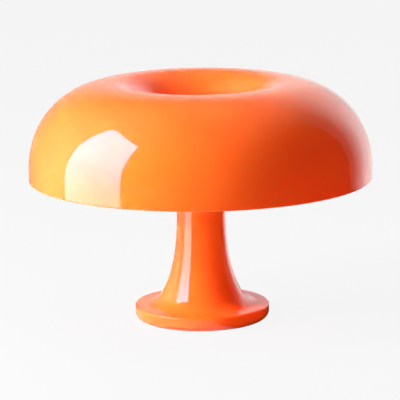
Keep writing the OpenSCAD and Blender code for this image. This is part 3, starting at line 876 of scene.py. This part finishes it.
def glass_bmesh():
    leave = math.radians(neck_leaves)
    neck_end = Vector((globe_r * math.cos(leave), globe_centre + globe_r * math.sin(leave)))
    first, last = neck_way * start_pull, Vector((-math.sin(leave), math.cos(leave))) * end_pull
    neck = []
    for k in range(neck_points + 1):
        t = k / neck_points
        point = neck_start * (2 * t ** 3 - 3 * t ** 2 + 1) + neck_end * (3 * t ** 2 - 2 * t ** 3)
        point += 3 * (first * (t ** 3 - 2 * t ** 2 + t) + last * (t ** 3 - t ** 2))
        neck.append(tuple(point))
    globe = arc((0, globe_centre), globe_r, neck_leaves, 90, 40)[1:]
    return spun_bmesh(glass_in_cap + neck + globe, 96, closed=False)


def bulb_cap_bmesh():
    low, high = cap_thread
    bm = thread_bmesh(cap_crest_r, cap_root_r, low, high)
    collar(bm, open_edges(bm, low), cap_end)
    collar(bm, open_edges(bm, high), cap_collar)
    bmesh.ops.remove_doubles(bm, verts=bm.verts, dist=0.002 * MM)
    bmesh.ops.recalc_face_normals(bm, faces=bm.faces)
    return bm


for i in range(1, holders + 1):
    rider = f"bulb_{i}"
    laid_out("opal_bulb", glass_bmesh(), i, opal_glass, "bulb_globe", rider)
    laid_out("threaded_cap", bulb_cap_bmesh(), i, nickel, "bulb_cap", rider)
    dress(f"bulb_insulator_{i}", insulator_glass)
    dress(f"bulb_tip_{i}", solder)
report(bpy.data.objects["opal_bulb_1"])
report(bpy.data.objects["threaded_cap_1"])

# %% [markdown]
# ## Lampholders
#
# Each holder is moulded of black phenolic, hard and fairly glossy, with a shoulder at its back, four
# grooves round its barrel and a rolled lip in front. Inside sits a pressed brass shell with the thread
# that the bulb screws into. The holder is a spun outline. The shell is a thread whose two ends are
# joined round its outside, so that it is a closed sheet of brass.

# %% Lampholders and their shells
# Phenolic is nearly black with a broad, slightly cloudy gloss
phenolic = surface_material("black_phenolic", {
    "Base Color": mottled(9, "#1b1a1c", "#242124"), "Roughness": uneven(5, 0.22, 0.38), "IOR": 1.6,
    "Normal": grain(0.7, 0.04, 0.25)})
# Brass glows yellow in the dark holder. Its drawing marks are drawn at 0.6 mm, coarser than real ones
brass = surface_material("stamped_brass", {
    "Base Color": mottled(5, "#d9b35c", "#c1964a"), "Metallic": 1.0, "Roughness": uneven(1.5, 0.2, 0.36, 5),
    "Normal": grain(0.6, 0.03, 0.2)})
groove_heights = (6.0, 9.0, 12.0, 15.0)
shell_crest_r, shell_root_r = 7.42, 7.02
shell_thread = (4.2, 18.8)


def holder_outline():
    # Heights run outwards along the bulb's axis, from the tip of the bulb
    nipple = [(3.5, -8.75), (4.8, -8.75), (5.0, -8.5), (5.0, -4.25)]
    shoulder = arc((11.7, -3.45), 0.8, 270, 360, 5) + arc((11.9, 1.15), 0.6, 0, 60, 3)
    barrel = [(13.0, 3.25)]
    for z in groove_heights:
        barrel += [(13.0, z - 0.6), (12.6, z - 0.35), (12.6, z + 0.35), (13.0, z + 0.6)]
    barrel += [(13.0, 17.45)]
    lip = arc((13.7, 18.05), 0.3, 270, 360, 3) + arc((13.0, 21.75), 1.0, 0, 90, 6)
    lip += arc((10.1, 22.15), 0.6, 90, 180, 4)
    bore = [(9.5, 19.75), (7.55, 19.75), (7.55, 3.0), (5.95, 3.0), (5.95, -1.75), (3.5, -1.75)]
    return nipple + shoulder + barrel + lip + bore


def shell_bmesh():
    low, high = shell_thread
    bm = thread_bmesh(shell_crest_r, shell_root_r, low, high)
    near = collar(bm, open_edges(bm, low), [(7.2, 3.6), (7.2, 3.0), (7.5, 3.0)])
    far = collar(bm, open_edges(bm, high), [(7.2, 19.4), (7.2, 20.0), (7.5, 20.0)])
    bmesh.ops.bridge_loops(bm, edges=near + far)
    bmesh.ops.recalc_face_normals(bm, faces=bm.faces)
    return bm


for i in range(1, holders + 1):
    holder = spun_bmesh(holder_outline(), 96)
    laid_out("holder_moulding", holder, i, phenolic, "lampholder", "base")
    laid_out("threaded_shell", shell_bmesh(), i, brass, "screw_shell", "base")
    dress(f"centre_contact_{i}", brass)
report(bpy.data.objects["holder_moulding_1"])
report(bpy.data.objects["threaded_shell_1"])

# %% [markdown]
# ## Finishes of the other pieces
#
# The bracket, the fasteners, the weight and the wiring have the right shapes already in the CAD
# model. Each gets the finish of its real material: stove enamel with its slight orange peel, zinc
# plate that is faintly blue and drawn, rough cast iron under black paint, spark-eroded plastic,
# pressed felt, soft rubber and smooth wire insulation. The crystals of zinc, the grain of plastic and
# rubber and the fibres of felt are all too fine to show on a whole lamp, so they are drawn coarser, at
# 0.6 mm and up.

# %% Finishes for the CAD pieces
# Enamel gives the bracket a thick white skin with softly waved highlights
enamel = surface_material("white_stove_enamel", {
    "Base Color": mottled(20, "#e9e7e1", "#dfdcd4"), "Roughness": uneven(8, 0.2, 0.32), "IOR": 1.5,
    "Coat Weight": 0.4, "Coat Roughness": 0.12, "Normal": grain(1.8, 0.05, 0.25)})
# Zinc is a cool grey metal, blotchy and never quite bright
zinc = surface_material("zinc_plated_steel", {
    "Base Color": mottled(3, "#c3c8cd", "#a5abb2", 5), "Metallic": 1.0,
    "Roughness": uneven(1.2, 0.26, 0.42, 5), "Normal": grain(0.7, 0.03, 0.3, 3, (1, 1, 4))})
# Painted cast iron is dark and rough, with almost no highlight
iron = surface_material("painted_cast_iron", {
    "Base Color": mottled(6, "#2c2d2f", "#3b3a39", 6), "Roughness": uneven(3, 0.5, 0.75),
    "Normal": grain(1.6, 0.35, 0.8, 4)})
# Spark-eroded plastic gives an even, dark satin
textured_plastic = surface_material("spark_eroded_polypropylene", {
    "Base Color": mottled(14, "#1c1c1e", "#252527"), "Roughness": uneven(6, 0.5, 0.62), "IOR": 1.49,
    "Normal": grain(0.6, 0.06, 0.6)})
# Polyamide is a warm white that light enters a little, so its edges look soft
polyamide = surface_material("white_polyamide", {
    "Base Color": mottled(10, "#e6e3d8", "#dcd8ca"), "Roughness": uneven(4, 0.3, 0.42), "IOR": 1.53,
    "Subsurface Weight": 0.3, "Subsurface Radius": (1.0, 0.95, 0.85), "Subsurface Scale": 1.5 * MM,
    "Normal": grain(0.9, 0.03, 0.25)})
# Rubber is the deepest matt black on the lamp
rubber = surface_material("moulded_black_rubber", {
    "Base Color": mottled(5, "#161516", "#211f1f"), "Roughness": uneven(2, 0.55, 0.75), "IOR": 1.5,
    "Normal": grain(0.6, 0.05, 0.4)})
# Felt has no gloss at all, only a pale bloom of loose fibres where it turns away
felt = surface_material("pressed_wool_felt", {
    "Base Color": mottled(0.8, "#2c2826", "#453f3b", 6), "Roughness": uneven(1.5, 0.85, 1.0),
    "Sheen Weight": 0.5, "Sheen Roughness": 0.4, "Normal": grain(0.7, 0.25, 1.0, 6)})
# Wire insulation is smooth satin, in two colours that tell the leads apart
lead_brown = surface_material("brown_wire_insulation", {
    "Base Color": mottled(6, "#6d3f24", "#7c4a2c"), "Roughness": uneven(3, 0.3, 0.45), "IOR": 1.53,
    "Normal": grain(1.2, 0.03, 0.3)})
lead_blue = surface_material("blue_wire_insulation", {
    "Base Color": mottled(6, "#2f5f9a", "#3a6eab"), "Roughness": uneven(3, 0.3, 0.45), "IOR": 1.53,
    "Normal": grain(1.2, 0.03, 0.3)})

finishes = {
    enamel: ["holder_bracket"],
    zinc: ["cover_screws", "rod_nuts", "rod_washers", "block_screw", "nipple_nuts"],
    iron: ["ballast_weight"],
    textured_plastic: ["base_cover"],
    polyamide: ["terminal_block"],
    brass: ["terminal_screws"],
    rubber: ["cord_gland", "cap_washer"],
    lead_brown: ["lead_1", "lead_3"],
    lead_blue: ["lead_2", "lead_4"],
}
for material, nodes in finishes.items():
    for node in nodes:
        dress(node, material)
print(sum(len(nodes) for nodes in finishes.values()), "CAD pieces finished")

# %% [markdown]
# ## The felt pad
#
# The lamp stands on a disc of pressed wool felt that is stuck in a shallow recess of the cover. Felt
# gives way under the punch that cuts it, so its edge is never sharp. A spun outline with rounded
# corners gives that edge, and the loose fibres come from the material.

# %% Felt pad
pad_low, pad_high = box_mm("felt_pad")
pad_round = 0.4


def felt_outline():
    r, low, high = pad_high.x, pad_low.z, pad_high.z
    edge = arc((r - pad_round, low + pad_round), pad_round, 270, 360, 5)
    edge += arc((r - pad_round, high - pad_round), pad_round, 0, 90, 5)
    return [(0, low)] + [((r - pad_round) * k / 8, low) for k in range(1, 8)] + edge + [(0, high)]


felt_disc = finished("felt_disc", spun_bmesh(felt_outline(), 128, closed=False), felt, ("felt_pad",),
                     "base")
report(felt_disc)

# %% [markdown]
# ## The tie tube
#
# One long tube holds the lamp together, from the weight in the foot to the shade's cap. Its upper end
# stands out of the bracket and shows its fine rolled thread when the shade is off. The same thread
# helper makes it, with a pitch of 1 mm, and the plain tube below is one bridge between two rings.

# %% Tie tube
tube_low, tube_high = box_mm("tie_tube")
tube_r = tube_high.x
tube_root_r = tube_r - 0.5
tube_bore_r = 3.5
fine_pitch = 1
thread_from = neck_top - 12
thread_to = tube_high.z - 1.2


def tube_bmesh():
    bm = thread_bmesh(tube_r, tube_root_r, thread_from, thread_to, fine_pitch)
    near = collar(bm, open_edges(bm, thread_from),
                  [(tube_root_r, thread_from - 0.5), (tube_r, thread_from - 1)])
    far = collar(bm, open_edges(bm, thread_to),
                 [(tube_root_r, tube_high.z - 0.8), (tube_r - 0.8, tube_high.z), (tube_bore_r, tube_high.z),
                  (tube_bore_r, tube_low.z), (tube_root_r, tube_low.z), (tube_r, tube_low.z + 0.5)])
    bmesh.ops.bridge_loops(bm, edges=near + far)
    bmesh.ops.recalc_face_normals(bm, faces=bm.faces)
    return bm


tube = finished("threaded_tie_tube", tube_bmesh(), zinc, ("tie_tube",), "base")
report(tube)
print(f"tube from {tube_low.z:.1f} to {tube_high.z:.1f} mm, radius {tube_r:.2f}")

# %% [markdown]
# ## Finish
#
# Last, the script prints a line to say that the scene is built.

# %% Finish
print("scene built")
